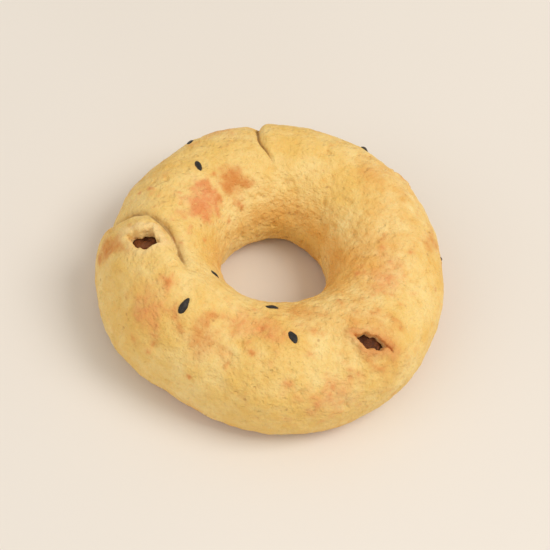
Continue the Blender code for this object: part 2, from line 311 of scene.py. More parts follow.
def fold_line(turn, around):
    """Depth of the thin wandering line at the bottom of the crease."""
    waver = FOLD_WAVER * noise.noise(Vector((around / FOLD_WAVER_LENGTH, 0, 0)))
    past = angle_gap(turn, fold_edge(around) + FOLD_EDGE + waver)
    fade = math.exp(-((angle_gap(around, FOLD_LINE_AROUND) / FOLD_LINE_REACH) ** FOLD_LINE_ENDS))
    return FOLD_LINE_DEPTH * fade * math.exp(-((past / FOLD_LINE_WIDTH) ** 2))


def lap_reach(turn, around):
    """How far from the middle of the lapped end a place is, where 1 is its outline."""
    behind = angle_gap(turn, LAP_TURN)
    beside = angle_gap(around, LAP_AROUND)
    length = LAP_TIP if behind < 0 else LAP_BODY
    waver = noise.noise(Vector((behind, beside, 0)) / LAP_WAVER_LENGTH)
    reach = abs(behind / length) ** LAP_SQUARENESS
    reach += abs(beside / LAP_HALF_WIDTH) ** LAP_SQUARENESS
    return reach ** (1 / LAP_SQUARENESS) * (1 + LAP_WAVER * waver)


def lap(turn, around, tip_edge=LAP_EDGE):
    """Height of the lapped end: steep round its tip, and sinking slowly along the body."""
    behind = smooth_step(angle_gap(turn, LAP_TURN), 0, LAP_BODY)
    edge = tip_edge + (1 - tip_edge) * behind
    return LAP_HEIGHT * (1 - smooth_step(lap_reach(turn, around), 1 - edge, 1 + edge))


def lap_tip(turn, around):
    """1 round the lapped end's tip, and 0 along its body and under the rope."""
    before_body = 1 - smooth_step(angle_gap(turn, LAP_TURN), *LAP_TO_BODY)
    return before_body * smooth_step(around, *LAP_TO_UNDERSIDE)


def lap_foot(turn, around):
    """How near the line at the foot of the lapped end's tip a place is, 1 being on it."""
    foot = 1 + LAP_CRISP_EDGE * LAP_FOOT_PLACE
    gap = (lap_reach(turn, around) - foot) / LAP_FOOT_WIDTH
    change = noise.noise(Vector((turn, around, LAP_FOOT_LAYER)) / LAP_FOOT_PATCH)
    strength = LAP_FOOT_MEAN + LAP_FOOT_CHANGE * change
    return lap_tip(turn, around) * math.exp(-((gap / strength) ** 2)) * min(strength, 1)


def lap_shade(turn, around):
    """How deep in the corner beyond the lapped end's tip a place is, most at its foot, for the
    painted shade there.
    """
    gap = (lap_reach(turn, around) - 1 - LAP_CRISP_EDGE) / LAP_SHADE_WIDTH
    steepness = 1 if gap > 0 else LAP_SHADE_STEEPNESS
    return lap_tip(turn, around) * math.exp(-((gap * steepness) ** 2))


def lap_finish(turn, around):
    """Height that the crisp edge, the rolled rim and the line at its foot add to the lap."""
    reach = lap_reach(turn, around)
    if reach > LAP_FINISHED:
        return 0.0
    crisp = lap(turn, around, LAP_CRISP_EDGE) - lap(turn, around)
    top = 1 - LAP_CRISP_EDGE - LAP_RIM_WIDTH
    rim = LAP_RIM_HEIGHT * math.exp(-(((reach - top) / LAP_RIM_WIDTH) ** 2))
    line = LAP_FOOT_DEPTH * lap_foot(turn, around)
    return crisp + lap_tip(turn, around) * rim - line


def bulges(turn, around):
    """Height of the skin's bulges and hollows."""
    height = 0.0
    for at_turn, at_around, along, across, peak in BULGES:
        distance = math.hypot(
            angle_gap(turn, at_turn) / along, angle_gap(around, at_around) / across
        )
        height += peak * math.exp(-distance * distance)
    return height


def skin_point(turn, around, relief=None):
    """Point on the outside of the dough; relief(point, turn, around) adds to its height."""
    out, up = section(around)
    out *= 1 + waves(turn, WIDTH_WAVES)
    if up > 0:
        up *= 1 + waves(turn, HEIGHT_WAVES)
    radius = ROPE_RADIUS * (1 + waves(turn, RADIUS_WAVES))
    plain = ring_point(turn, radius + out, WIDEST_LEVEL + up)
    raised = fold(turn, around) + lap(turn, around) + bulges(turn, around)
    raised += LUMP_HEIGHT * noise.noise(plain / LUMP_LENGTH)
    if relief:
        raised += relief(plain, turn, around)
    outward = math.radians(around)
    radius += out + raised * math.cos(outward)
    level = WIDEST_LEVEL + up + raised * math.sin(outward)
    return ring_point(turn, radius, max(level, 0.0))


def skin_frame(turn, around):
    """Place on the skin, with the directions along the rope, around it and out of it."""
    along = skin_point(turn + FRAME_STEP, around) - skin_point(turn - FRAME_STEP, around)
    across = skin_point(turn, around + FRAME_STEP) - skin_point(turn, around - FRAME_STEP)
    along.normalize()
    outward = along.cross(across).normalized()
    return skin_point(turn, around), along, outward.cross(along), outward


def paste_point(turn, around):
    """Point on the outside of the date paste, which swells up under each split."""
    radius = ROPE_RADIUS * (1 + waves(turn, RADIUS_WAVES))
    outward = math.radians(around)
    plain = ring_point(
        turn,
        radius + PASTE_HALF_WIDTH * math.cos(outward),
        PASTE_LEVEL + PASTE_HALF_HEIGHT * math.sin(outward),
    )
    middle = ring_point(turn, radius, PASTE_LEVEL)
    room = (skin_point(turn, around) - plain).length - PASTE_BELOW_SKIN
    swell = 0.0
    for at_turn, at_around, _, _, _ in SPLITS.values():
        distance = math.hypot(
            angle_gap(turn, at_turn) / PASTE_SWELL_ALONG,
            angle_gap(around, at_around) / PASTE_SWELL_ACROSS,
        )
        swell = max(swell, room * math.exp(-(distance**2)))
    swell += PASTE_LUMP_HEIGHT * noise.noise(plain / PASTE_LUMP_LENGTH)
    return plain + (plain - middle).normalized() * swell


def ring_shift():
    """How far the solids were moved to stand over the origin, read from the paste's box."""
    turns, arounds = CAD_PASTE_STEPS
    points = [
        paste_point(360 * step / turns, 360 * side / arounds)
        for step in range(turns)
        for side in range(arounds)
    ]
    lowest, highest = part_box("date_filling")
    middle = (lowest + highest) / 2
    own_x = (min(p.x for p in points) + max(p.x for p in points)) / 2
    own_y = (min(p.y for p in points) + max(p.y for p in points)) / 2
    return Vector((middle.x - own_x, middle.y - own_y, 0))


SHIFT = ring_shift()


class Split:
    """A split of the skin, with its place and its own directions."""

    def __init__(self, name):
        self.turn, self.around, length, width, lean = SPLITS[name]
        self.lip_height, self.lip_width, self.toasting = LIPS[name]
        self.half_length, self.half_width = length / 2, width / 2
        self.place, along, across, self.outward = skin_frame(self.turn, self.around)
        lean = math.radians(lean)
        self.long_way = across * math.cos(lean) + along * math.sin(lean)
        self.short_way = self.outward.cross(self.long_way)

    def local(self, point):
        """Lengthwise (1 at the upper end), sideways and outward place of a point."""
        offset = point - self.place
        return (
            offset.dot(self.long_way) / self.half_length,
            offset.dot(self.short_way),
            offset.dot(self.outward),
        )

    def edge(self, lengthwise):
        """Half the width of the opening at this place along it."""
        wave = noise.noise(Vector((self.turn, lengthwise * SPLIT_RAGS, 0)))
        width = self.half_width * (1 - SPLIT_TAPER * lengthwise**2)
        width *= (1 + SPLIT_WIDER_END * lengthwise) * (1 + SPLIT_RAGGED * wave)
        return width * math.sqrt(max(1 - lengthwise**2, 0.0))

    def swing(self, lengthwise):
        """Sideways place of the tear's middle."""
        along = Vector((lengthwise * SPLIT_SWINGS, self.turn, SPLIT_LAYER))
        return SPLIT_WANDER * noise.noise(along)

    def inside(self, point):
        """How far inside the torn outline a point lies, negative outside it."""
        lengthwise, sideways, _ = self.local(point)
        sideways -= self.swing(lengthwise)
        if abs(lengthwise) < 1:
            distance = self.edge(lengthwise) - abs(sideways)
        else:
            distance = -math.hypot(sideways, (abs(lengthwise) - 1) * self.half_length)
        notch = noise.noise(point / TEAR_LENGTH)
        notch += FINE_TEAR_SHARE * noise.noise(point / TEAR_LENGTH * FINE_TEAR_TIMES)
        return distance + TEAR_DEPTH * notch

    def lip_share(self, point):
        """How near the crest of the curled lip a point lies, most at the upper and inner side."""
        lengthwise, sideways, _ = self.local(point)
        gap = max(-self.inside(point), 0.0) / self.lip_width
        side = 1 + LIP_UPPER * math.tanh(sideways / self.half_width)
        side += LIP_INNER * math.tanh(lengthwise)
        return side * math.exp(-((gap - LIP_CREST) ** 2))

    def lip(self, point):
        """Height of the curled lip."""
        return self.lip_height * self.lip_share(point)


OPENINGS = [Split(name) for name in SPLITS]


def fine_relief(point, turn, around):
    """Ripples and grain of the baked skin, and the finish of fold and lap."""
    height = RIPPLE_HEIGHT * noise.noise(point / RIPPLE_LENGTH)
    height += GRAIN_HEIGHT * noise.noise(point / GRAIN_LENGTH)
    height -= PIT_HOLLOW * max(noise.noise(point / PIT_LENGTH + PIT_SHIFT) - PIT_FROM, 0)
    return height + lap_finish(turn, around) - fold_line(turn, around)


def seed_places():
    """Places for the seeds on the upper skin, clear of each other, fold, lap and splits."""
    draw = random.Random(SEED_DRAW)
    places = []
    turn = 0.0
    while len(places) < SEED_COUNT:
        turn += SEED_TURN + draw.uniform(-SEED_JITTER, SEED_JITTER)
        around = draw.gauss(*SEED_AROUND)
        spin = draw.uniform(0, math.pi)
        size = draw.uniform(SEED_SMALLEST, 1)
        sink = draw.uniform(0, SEED_SINK)
        place, along, across, outward = skin_frame(turn, around)
        clear = all((place - other[0]).length > SEED_SPACING for other in places)
        clear = clear and abs(angle_gap(turn, FOLD_TURN)) > SEED_FROM_LAP
        clear = clear and abs(angle_gap(turn, SPLITS["left_split"][0])) > SEED_FROM_LAP
        clear = clear and SEED_LOWEST < around < SEED_INNERMOST
        for split in OPENINGS:
            gap = (place - split.place).length
            clear = clear and gap > split.half_length + SEED_LENGTH
        if clear:
            long_way = along * math.cos(spin) + across * math.sin(spin)
            short_way = outward.cross(long_way)
            lift = fine_relief(place, turn, around) - sink
            places.append((place + outward * lift, long_way, short_way, outward, size))
    return places


SEEDS = seed_places()


# ---------------------------------------------------------------- finishes


def tone(red, green, blue):
    """Linear colour of an sRGB one given from 0 to 255, by the standard's formula."""
    shares = [value / 255 for value in (red, green, blue)]
    linear = [s / 12.92 if s <= 0.04045 else ((s + 0.055) / 1.055) ** 2.4 for s in shares]
    return (*linear, 1.0)


class Wire:
    """A value socket of a finish, on which Python's operators add Math nodes."""

    def __init__(self, finish, socket):
        self.finish, self.socket = finish, socket

    def maths(self, operation, *values):
        """Result of a Math node on the values."""
        settings = {"operation": operation}
        return self.finish.value("ShaderNodeMath", settings, dict(enumerate(values)))

    def __add__(self, other):
        return self.maths("ADD", self, other)

    def __sub__(self, other):
        return self.maths("SUBTRACT", self, other)

    def __rsub__(self, other):
        return self.maths("SUBTRACT", other, self)

    def __mul__(self, other):
        return self.maths("MULTIPLY", self, other)

    __radd__ = __add__
    __rmul__ = __mul__

    def ramp(self, low, high):
        """0 at low and 1 at high, smoothly."""
        settings = {"interpolation_type": "SMOOTHSTEP"}
        sockets = {"Value": self, "From Min": low, "From Max": high}
        return self.finish.value("ShaderNodeMapRange", settings, sockets)


class Finish:
    """A procedural material on Object coordinates."""

    def __init__(self, name, **plain):
        self.material = bpy.data.materials.new(name)
        self.material.use_nodes = True
        self.tree = self.material.node_tree
        self.shader = self.tree.nodes["Principled BSDF"]
        for socket, value in plain.items():
            self.shader.inputs[socket.replace("_", " ")].default_value = value
        self.place = self.node("ShaderNodeTexCoord").outputs["Object"]

    def node(self, kind, settings=None, sockets=None):
        """Adds a node: first its settings, then the values or links of its sockets."""
        node = self.tree.nodes.new(kind)
        for name, value in (settings or {}).items():
            setattr(node, name, value)
        for name, value in (sockets or {}).items():
            self.feed(node.inputs[name], value)
        return node

    def feed(self, socket, value):
        """Links a wire or a socket, or sets a plain value."""
        if isinstance(value, Wire):
            value = value.socket
        if isinstance(value, bpy.types.NodeSocket):
            self.tree.links.new(value, socket)
        else:
            socket.default_value = value

    def value(self, kind, settings=None, sockets=None, output=0):
        """Adds a node and gives one of its outputs as a wire."""
        return Wire(self, self.node(kind, settings, sockets).outputs[output])

    def attribute(self, name):
        """A value that the mesh carries."""
        return self.value("ShaderNodeAttribute", {"attribute_name": name}, output="Fac")

    def noise(self, scale, detail, roughness):
        """Clouds from 0 to 1, scale of them in a metre."""
        sockets = {"Vector": self.place, "Scale": scale, "Detail": detail}
        sockets["Roughness"] = roughness
        return self.value("ShaderNodeTexNoise", None, sockets)

    def cells(self, scale, feature="F1"):
        """Distance from the middles of cells, or from their edges, scale of them in a metre."""
        sockets = {"Vector": self.place, "Scale": scale}
        return self.value("ShaderNodeTexVoronoi", {"feature": feature}, sockets, "Distance")

    def mix(self, share, first, second):
        """Colour that goes from first to second, through the node's sockets for colours."""
        sockets = {0: share, 6: first, 7: second}
        return self.node("ShaderNodeMix", {"data_type": "RGBA"}, sockets).outputs[2]

    def tint(self, colour, share, over, low, high, strength):
        """The colour under another, from none of it at the low share to all at the high one."""
        return self.mix(share.ramp(low, high) * strength, colour, over)

    def bump(self, height, distance, strength, under=None):
        """Normal of a height given as a share of the distance, over the normal under it."""
        sockets = {"Height": height, "Distance": distance, "Strength": strength}
        if under is not None:
            sockets["Normal"] = under
        return self.node("ShaderNodeBump", None, sockets).outputs["Normal"]

    def drive(self, **sockets):
        """Feeds the shader's sockets."""
        for socket, value in sockets.items():
            self.feed(self.shader.inputs[socket.replace("_", " ")], value)
        return self.material


# Tones of the dough
PALE = tone(249, 220, 148)
GOLDEN = tone(238, 194, 104)
TOASTED = tone(232, 169, 82)
ROSE = tone(230, 140, 82)
BLUSH = tone(216, 138, 64)
HALO = tone(216, 138, 68)
STAIN = tone(166, 84, 42)
# Painted shade for the fold's line, the line at the lap's foot and the corner beyond the lap's
# tip
CREASE_SHADE = tone(150, 104, 52)
BROWNED = tone(200, 138, 72)
FLECK = tone(160, 104, 54)
CRUMB = tone(248, 214, 152)

# Tints over the pale dough: tone, the shares at which it starts and is full, and its strength
TINTS = {
    "golden": (GOLDEN, 0.45, 1.0, 1.0),
    "toasted": (TOASTED, 0.25, 1.1, 1.0),
    "rose": (ROSE, 0.0, 1.1, 0.85),
    "blush": (BLUSH, 0.0, 1.1, 0.9),
    "halo": (HALO, 0.1, 1.0, 0.8),
    "stain": (STAIN, 0.9, 1.4, 0.7),
    # painted shade in the creases and in the corner beyond the lap's tip
    "crease": (CREASE_SHADE, 0.1, 0.9, 0.75),
    "browned": (BROWNED, 0.15, 1.1, 0.9),
}
# strengths of the flecks, the crumb and the painted shade in the sand's hollows
FLECK_STRENGTH, CRUMB_STRENGTH, HOLLOW_SHADE_STRENGTH = 0.5, 0.9, 0.22

# Patterns of the baked skin: how many in a metre, their detail and their roughness
BROAD = (95, 3, 0.55)
MOTTLE = (420, 3, 0.6)
SAND = (1100, 2, 0.55)
GRAIN = (2600, 3, 0.6)
FLECK_FIELDS = (500, 0, 0.5)
PORES, FLECKS = 1500, 560  # in a metre
PATTERN_MEAN = 0.5

# How much the patterns take part in the tints, and where they start and are full
GOLDEN_MOTTLE, TOASTED_MOTTLE = 0.5, 0.7
RAGGED_MOTTLE, RAGGED_SAND = 1.3, 1.2  # in the outlines of the tints
BASE_EVEN, BASE_BROAD, BASE_RAGGED = 0.45, 1.1, 0.5
FLECKED = (0.56, 0.70)
FLECK_EDGE = (0.06, 0.20)
PORE_EDGE = (0.05, 0.45)
# where the painted shade in the sand's hollows starts and is full
HOLLOW_SHADE_EDGE = (0.25, 0.5)

# Height and strength of the bumps of grain, pores, sand and mottle
BUMPS = ((0.00014, 0.7), (0.00010, 0.6), (0.00050, 0.8), (0.00060, 0.5))
DOUGH_ROUGHNESS, MOTTLE_ROUGHNESS, CRUMB_ROUGHNESS = 0.52, 0.2, 0.2

# What the dough's mesh says of its skin at each vertex
SHARES = ("toast_and_shade", "blush", "rose", "crumb", "halo", "crease", "base")


def dough_finish():
    """Baked shortcrust: cream to gold, toasted patches, brown flecks, fine grain and pores, with
    painted shade in creases, in hollows, in the hole and on the right arc.
    """
    finish = Finish(
        "baked_dough",
        Subsurface_Weight=0.08,
        Subsurface_Radius=(0.0020, 0.0011, 0.0005),
        Subsurface_Scale=1.0,
        Specular_IOR_Level=0.34,
    )
    broad, mottle = finish.noise(*BROAD), finish.noise(*MOTTLE)
    sand, grain = finish.noise(*SAND), finish.noise(*GRAIN)
    pores = finish.cells(PORES).ramp(*PORE_EDGE)
    toast_and_shade, blush, rose, crumb, halo, crease, base = [finish.attribute(name) for name in SHARES]

    colour = finish.tint(PALE, broad + mottle * GOLDEN_MOTTLE, *TINTS["golden"])
    # the toasted share also carries painted shade in the hole and on the right arc
    clouded = toast_and_shade + (mottle - PATTERN_MEAN) * TOASTED_MOTTLE
    colour = finish.tint(colour, clouded, *TINTS["toasted"])
    uneven = (mottle - PATTERN_MEAN) * RAGGED_MOTTLE + (sand - PATTERN_MEAN) * RAGGED_SAND
    for share, name in ((rose, "rose"), (blush, "blush"), (halo, "halo"), (halo, "stain")):
        colour = finish.tint(colour, share + uneven * share, *TINTS[name])
    # painted shade along the fold's line and the lap's foot line, and in the corner beyond the
    # lap's tip
    colour = finish.tint(colour, crease, *TINTS["crease"])
    baked = base * (BASE_EVEN + broad * BASE_BROAD) + uneven * BASE_RAGGED
    colour = finish.tint(colour, baked, *TINTS["browned"])
    flecked = finish.noise(*FLECK_FIELDS).ramp(*FLECKED)
    flecks = (1 - finish.cells(FLECKS).ramp(*FLECK_EDGE)) * flecked
    colour = finish.mix(flecks * FLECK_STRENGTH, colour, FLECK)
    colour = finish.mix(crumb * CRUMB_STRENGTH, colour, CRUMB)
    # painted shade: the toasted tone in the low parts of the sand pattern, which is also the
    # bump's height
    colour = finish.mix((1 - sand.ramp(*HOLLOW_SHADE_EDGE)) * HOLLOW_SHADE_STRENGTH, colour, TOASTED)

    normal = None
    for height, (distance, strength) in zip((grain, pores, sand, mottle), BUMPS):
        normal = finish.bump(height, distance, strength, normal)
    return finish.drive(
        Base_Color=colour,
        Roughness=DOUGH_ROUGHNESS + mottle * MOTTLE_ROUGHNESS + crumb * CRUMB_ROUGHNESS,
        Normal=normal,
    )


PASTE_DARK = tone(84, 44, 22)
PASTE_BROWN = tone(134, 76, 36)
PASTE_FIBRE = tone(176, 112, 56)
FIBRE_STRENGTH = 0.6
PASTE_ROUGHNESS, FIBRE_ROUGHNESS = 0.38, 0.3
PASTE_COAT = 0.3  # on the lumps


def paste_finish():
    """Sticky date paste: dark brown, fibrous and lumpy, with a dull gloss."""
    finish = Finish("date_paste", Specular_IOR_Level=0.4, Coat_Roughness=0.3)
    fibres = finish.noise(scale=1500, detail=4, roughness=0.7)
    lumps = finish.noise(scale=650, detail=2, roughness=0.5)
    colour = finish.mix(lumps.ramp(low=0.35, high=0.65), PASTE_DARK, PASTE_BROWN)
    fibrous = fibres.ramp(low=0.55, high=0.72) * FIBRE_STRENGTH
    lumpy = finish.bump(lumps, distance=0.0009, strength=0.8)
    return finish.drive(
        Base_Color=finish.mix(fibrous, colour, PASTE_FIBRE),
        Roughness=PASTE_ROUGHNESS + fibres * FIBRE_ROUGHNESS,
        Coat_Weight=lumps.ramp(low=0.45, high=0.8) * PASTE_COAT,
        Normal=finish.bump(fibres, distance=0.0006, strength=0.9, under=lumpy),
    )


SEED_BLACK = tone(33, 30, 28)
SEED_GREY = tone(62, 55, 48)
SEED_ROUGHNESS, SEED_PATCH_ROUGHNESS = 0.42, 0.2


def seed_finish():
    """Dull black seed skin with a fine net of wrinkles."""
    finish = Finish("black_seed", Specular_IOR_Level=0.4)
    net = finish.cells(5200, "DISTANCE_TO_EDGE").ramp(low=0.0, high=0.12)
    patch = finish.noise(scale=1200, detail=2, roughness=0.5)
    return finish.drive(
        Base_Color=finish.mix(patch.ramp(low=0.4, high=0.75), SEED_BLACK, SEED_GREY),
        Roughness=SEED_ROUGHNESS + patch * SEED_PATCH_ROUGHNESS,
        Normal=finish.bump(net, distance=0.00004, strength=0.6),
    )


FLOOR_DIM = tone(231, 224, 215)
FLOOR_BRIGHT = tone(235, 229, 221)
FLOOR_ROUGHNESS, CLOUD_ROUGHNESS = 0.62, 0.08


def floor_finish():
    """Plain pale surface, hardly mottled."""
    finish = Finish("pale_floor", Specular_IOR_Level=0.25)
    cloud = finish.noise(scale=6, detail=3, roughness=0.5)
    return finish.drive(
        Base_Color=finish.mix(cloud.ramp(low=0.3, high=0.7), FLOOR_DIM, FLOOR_BRIGHT),
        Roughness=FLOOR_ROUGHNESS + cloud * CLOUD_ROUGHNESS,
    )


# ---------------------------------------------------------------- pieces


def spun_torus(ring_steps, rope_steps):
    """Plain torus as a bmesh: the rope's circle spun round the ring's axis."""
    shape = bmesh.new()
    bmesh.ops.create_circle(shape, segments=rope_steps, radius=ROPE_WIDTH / 2)
    upright = Matrix.Translation((ROPE_RADIUS, 0, 0)) @ Matrix.Rotation(math.pi / 2, 4, "X")
    bmesh.ops.transform(shape, matrix=upright, verts=shape.verts)
    bmesh.ops.spin(
        shape,
        geom=shape.verts[:] + shape.edges[:],
        axis=(0, 0, 1),
        angle=math.tau,
        steps=ring_steps,
        use_merge=True,
    )
    bmesh.ops.remove_doubles(shape, verts=shape.verts, dist=MERGE_DISTANCE)
    bmesh.ops.recalc_face_normals(shape, faces=shape.faces)
    return shape


def angles(point):
    """Turn and around of a point of the plain torus, in degrees."""
    turn = math.degrees(math.atan2(point.y, point.x))
    return turn, math.degrees(math.atan2(point.z, math.hypot(point.x, point.y) - ROPE_RADIUS))


def refine(shape, wanted, cuts):
    """Cuts the edges whose ends are both wanted(turn, around)."""
    near = {vertex for vertex in shape.verts if wanted(*angles(vertex.co))}
    edges = [edge for edge in shape.edges if near.issuperset(edge.verts)]
    bmesh.ops.subdivide_edges(shape, edges=edges, cuts=cuts, use_grid_fill=True)


def new_piece(name, shape, finish):
    """Object of a bmesh, moved over the origin, with its finish, attached to the root body."""
    bmesh.ops.translate(shape, vec=SHIFT, verts=shape.verts)
    mesh = bpy.data.meshes.new(name)
    shape.to_mesh(mesh)
    shape.free()
    mesh.shade_smooth()
    piece = bpy.data.objects.new(name, mesh)
    bpy.context.scene.collection.objects.link(piece)
    mesh.materials.append(finish)
    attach(piece, "root")
    return piece


def near_split(turn, around):
    """Whether the skin there is close to a split."""
    first, last = NEAR_SPLIT_AROUND
    if around < first or around > last:
        return False
    point = skin_point(turn, around)
    for split in OPENINGS:
        lengthwise, sideways, outward = split.local(point)
        beside = abs(sideways) < split.half_width + NEAR_SPLIT and outward > -NEAR_SPLIT_DEPTH
        reach = split.half_length + TAIL_LENGTH * NEAR_TAIL
        if beside and abs(lengthwise) * split.half_length < reach:
            return True
    return False


def under_split(turn, around):
    """Whether the paste there shows in a split."""
    for split in OPENINGS:
        distance = math.hypot(
            angle_gap(turn, split.turn) / PASTE_SWELL_ALONG,
            angle_gap(around, split.around) / PASTE_SWELL_ACROSS,
        )
        if distance < 1:
            return True
    return False


def near_edge(turn, around):
    """Whether the skin there is close to the fold or to the tip of the lapped end."""
    if abs(angle_gap(turn, FOLD_TURN + FOLD_EDGE)) < NEAR_FOLD:
        return fold_line(turn, around) > FOLD_LINE_DEPTH * NEAR_FOLD_LINE
    first, last = NEAR_LAP_AROUND
    tip = angle_gap(turn, LAP_TURN) < NEAR_LAP_TURN and first < around < last
    inner, outer = NEAR_LAP_REACH
    return tip and inner < lap_reach(turn, around) < outer


def seed_rim(point):
    """Height of the dough that a seed pushes up round itself."""
    for place, long_way, short_way, _, size in SEEDS:
        offset = point - place
        if offset.length > SEED_LENGTH:
            continue
        along = offset.dot(long_way) / (size * SEED_LENGTH / 2)
        across = offset.dot(short_way) / (size * SEED_WIDTH / 2)
        reach = math.hypot(along, across)
        return SEED_RIM_HEIGHT * math.exp(-(((reach - SEED_RIM_PLACE) / SEED_RIM_WIDTH) ** 2))
    return 0.0


def open_splits(point):
    """Moves a point of the skin down into the splits, or up onto their curled lips."""
    for split in OPENINGS:
        reach = split.half_length + TAIL_LENGTH + split.lip_width * LIP_REACH
        if (point - split.place).length > reach:
            continue
        lengthwise, sideways, _ = split.local(point)
        inside = split.inside(point)
        inner = smooth_step(inside, 0, WALL_RUN)
        uneven = 1 + TORN_UNEVEN * noise.noise(point / TEAR_LENGTH * TORN_TIMES)
        height = split.lip(point) * (1 - inner) - TORN_DEPTH * uneven * inner
        beyond = (abs(lengthwise) - 1) * split.half_length
        if -TAIL_OVERLAP < beyond < TAIL_LENGTH:
            aside = (sideways - split.swing(lengthwise)) / TAIL_WIDTH
            fade = (1 - max(beyond, 0) / TAIL_LENGTH) * (1 - inner)
            height -= TAIL_DEPTH * fade * math.exp(-(aside**2))
        return point + split.outward * height
    return point


def paste_room():
    """The hollow for the paste, a gap wider than the paste all round."""
    shape = spun_torus(ROOM_RING_STEPS, ROOM_ROPE_STEPS)
    for vertex in shape.verts:
        vertex.co = paste_point(*angles(vertex.co))
    bmesh.ops.recalc_face_normals(shape, faces=shape.faces)
    shape.normal_update()
    for vertex in shape.verts:
        vertex.co += vertex.normal * PASTE_GAP + SHIFT
    return shape


def hollow(piece, cutter_shape):
    """Cuts the bmesh out of the piece."""
    mesh = bpy.data.meshes.new("paste_room")
    cutter_shape.to_mesh(mesh)
    cutter_shape.free()
    cutter = bpy.data.objects.new("paste_room", mesh)
    bpy.context.scene.collection.objects.link(cutter)
    difference = piece.modifiers.new("paste_room", "BOOLEAN")
    difference.operation = "DIFFERENCE"
    difference.solver = "MANIFOLD"
    difference.object = cutter
    bpy.context.view_layer.update()
    graph = bpy.context.evaluated_depsgraph_get()
    cut = bpy.data.meshes.new_from_object(piece.evaluated_get(graph))
    piece.modifiers.clear()
    whole = piece.data
    piece.data = cut
    cut.name = piece.name
    bpy.data.meshes.remove(whole)
    bpy.data.objects.remove(cutter)
    bpy.data.meshes.remove(mesh)


def patch_share(point, patches):
    """How strongly the patches colour this point, each with a ragged outline."""
    most = 0.0
    ragged = 1.0
    for length, share in PATCH_RAGS:
        ragged += share * noise.noise(point / length)
    for place, along_way, across_way, along, across, strength in patches:
        offset = point - place
        distance = math.hypot(offset.dot(along_way) / along, offset.dot(across_way) / across)
        if offset.length < PATCH_REACH * max(along, across):
            most = max(most, strength * math.exp(-((distance * ragged) ** 2)))
    return most


def placed(patches):
    """The patches with their place on the skin and their directions."""
    found = []
    for turn, around, along, across, strength in patches:
        place, along_way, across_way, _ = skin_frame(turn, around)
        found.append((place, along_way, across_way, along, across, strength))
    return found


def toasting(point, turn, around):
    """How toasted the skin is, in clouds, on top and near the base, with painted shade in the
    hole and on the right arc.
    """
    upward = math.sin(math.radians(around))
    top = smooth_step(upward, *TOP_FACING)
    hole = smooth_step(around, *HOLE_AROUND) * smooth_step(upward, *HOLE_FACING)
    right = math.exp(-((angle_gap(turn, RIGHT_TURN) / RIGHT_SPREAD) ** 2))
    low = 1 - smooth_step(point.z, *LOW_LEVELS)
    cloud = TOAST_CLOUD * noise.noise(point / TOAST_CLOUD_LENGTH)
    return TOAST_TOP * top + cloud + HOLE_SHADE * hole + RIGHT_ARC_SHADE * right + TOAST_LOW * low


def split_shares(point, depth):
    """How much of crumb and of toasted halo a split gives to this point."""
    crumb = halo = 0.0
    for split in OPENINGS:
        if (point - split.place).length > split.half_length + HALO_REACH * 2:
            continue
        gap = max(-split.inside(point), 0.0)
        halo = max(halo, math.exp(-((gap / HALO_REACH) ** 2)) * split.toasting)
        lip = min(split.lip_share(point), 1.0) * (1 - split.toasting)
        crumb = max(crumb, smooth_step(depth, *CRUMB_DEPTHS), lip)
    return crumb, halo


def mark(piece):
    """Writes onto the dough's mesh how much of each share every vertex has."""
    mesh = piece.data
    shares = {name: [] for name in SHARES}
    blush, rose = placed(BLUSH_PATCHES), placed(ROSE_PATCHES)
    for vertex in mesh.vertices:
        point = vertex.co - SHIFT
        turn = math.degrees(math.atan2(point.y, point.x))
        radius = ROPE_RADIUS * (1 + waves(turn, RADIUS_WAVES))
        out = math.hypot(point.x, point.y) - radius
        around = math.degrees(math.atan2(point.z - WIDEST_LEVEL, out))
        middle = ring_point(turn, radius, WIDEST_LEVEL)
        depth = (skin_point(turn, around) - middle).length - (point - middle).length
        crumb, halo = split_shares(point, depth)
        line = fold_line(turn, around) / FOLD_LINE_DEPTH
        shade = LAP_SHADE_TONE * lap_shade(turn, around)
        # toasting, with painted shade in the hole and on the right arc
        shares["toast_and_shade"].append(toasting(point, turn, around))
        shares["blush"].append(patch_share(point, blush))
        shares["rose"].append(patch_share(point, rose))
        shares["crumb"].append(crumb)
        shares["halo"].append(halo)
        # the crease share is painted shade: the fold's line, the lap's foot line and the corner
        # beyond its tip
        shares["crease"].append(max(line, lap_foot(turn, around), shade))
        shares["base"].append(1 - smooth_step(point.z, *BASE_LEVELS))
    for name in SHARES:
        layer = mesh.attributes.new(name, "FLOAT", "POINT")
        layer.data.foreach_set("value", shares[name])


def make_dough():
    """The baked dough ring, split open over the paste."""
    shape = spun_torus(RING_STEPS, ROPE_STEPS)
    refine(shape, near_split, cuts=2)
    refine(shape, near_edge, cuts=1)
    for vertex in shape.verts:
        turn, around = angles(vertex.co)
        around += math.degrees(DRAWN_UP * math.cos(math.radians(around)))
        vertex.co = skin_point(turn, around, fine_relief)
    shape.normal_update()
    for vertex in shape.verts:
        point = vertex.co.copy()
        vertex.co = open_splits(point) + vertex.normal * seed_rim(point)
    shape.normal_update()
    piece = new_piece("baked_dough", shape, dough_finish())
    hollow(piece, paste_room())
    mark(piece)
    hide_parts("dough")
    return piece


def rough_paste(turn, around):
    """Point on the date paste's rough outside."""
    point = paste_point(turn, around)
    middle = ring_point(turn, ROPE_RADIUS, PASTE_LEVEL)
    height = PASTE_BEAD_HEIGHT * noise.noise(point / PASTE_BEAD_LENGTH)
    height -= PASTE_DENT_DEPTH * abs(noise.noise(point / PASTE_DENT_LENGTH))
    return point + (point - middle).normalized() * height


def make_paste():
    """The date paste, which shows in the splits."""
    shape = spun_torus(PASTE_RING_STEPS, PASTE_ROPE_STEPS)
    refine(shape, under_split, cuts=2)
    for vertex in shape.verts:
        vertex.co = rough_paste(*angles(vertex.co))
    bmesh.ops.recalc_face_normals(shape, faces=shape.faces)
    piece = new_piece("date_paste", shape, paste_finish())
    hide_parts("date_filling")
    return piece


